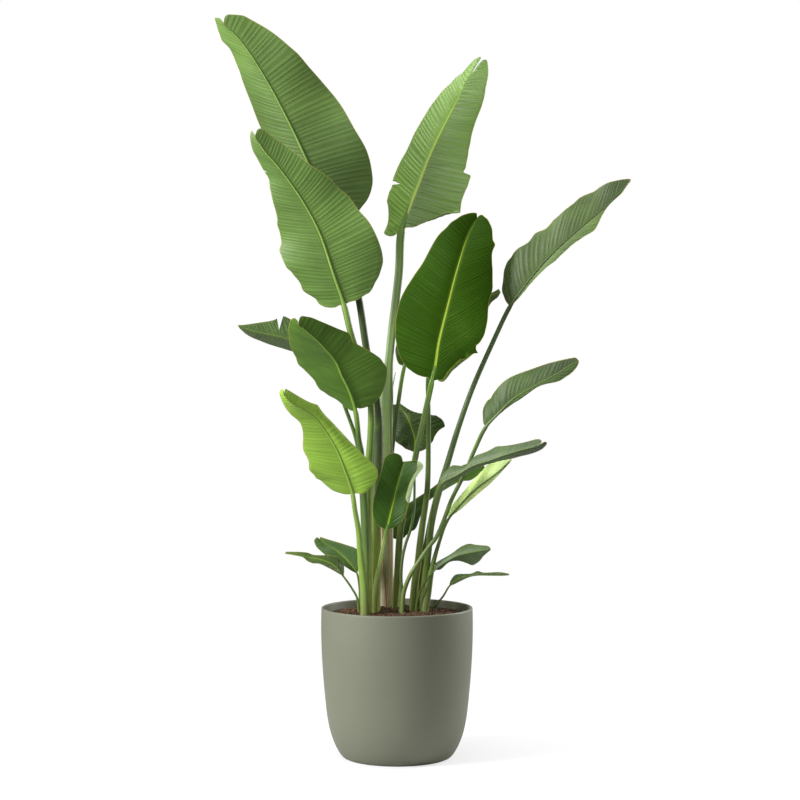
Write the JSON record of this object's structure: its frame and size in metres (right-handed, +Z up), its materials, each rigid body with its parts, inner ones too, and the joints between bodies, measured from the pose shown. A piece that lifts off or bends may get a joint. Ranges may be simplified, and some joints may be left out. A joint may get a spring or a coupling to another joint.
{
  "type": "potted plant",
  "caption": "Round tapered pot of soil with a clump of tall stalks, each ending in a broad paddle-shaped ribbed leaf.",
  "frame": {"origin": "centre of the pot's flat bottom, on the floor", "axes": "+Z up, -Y towards the viewer, +X to the right as seen by the viewer"},
  "size_m": [0.8112, 0.3704, 1.4693],
  "materials": {
    "pot": "matte sage grey with a fine horizontal grain",
    "soil": "rough dark brown crumbs of bark and peat",
    "leaf_dark": "glossy deep green, pleated across, with a yellow-green midrib",
    "leaf_mid": "satin mid green with fine side veins and a raised midrib",
    "leaf_pale": "satin lime green, letting light through, with fine side veins"
  },
  "bodies": {
    "root": {"pot": "pot", "soil": "soil", "leaf_top_left": "leaf_mid", "leaf_upper_left": "leaf_mid", "leaf_top_right": "leaf_mid", "leaf_broad_centre": "leaf_dark", "leaf_mid_left": "leaf_mid", "leaf_far_left": "leaf_mid", "leaf_bright_left": "leaf_pale", "leaf_low_centre": "leaf_dark", "leaf_dark_back": "leaf_dark", "leaf_upper_right": "leaf_mid", "leaf_mid_right": "leaf_mid", "leaf_lower_right": "leaf_mid", "leaf_pale_right": "leaf_pale", "leaf_low_back": "leaf_dark", "leaf_sprout_right": "leaf_mid", "leaf_sprout_far_right": "leaf_mid", "leaf_sprout_far_left": "leaf_mid", "leaf_sprout_left": "leaf_mid", "leaf_behind_centre_left": "leaf_dark", "leaf_behind_centre_right": "leaf_dark", "leaf_rolled_spear": "leaf_mid"}
  },
  "joints": []
}
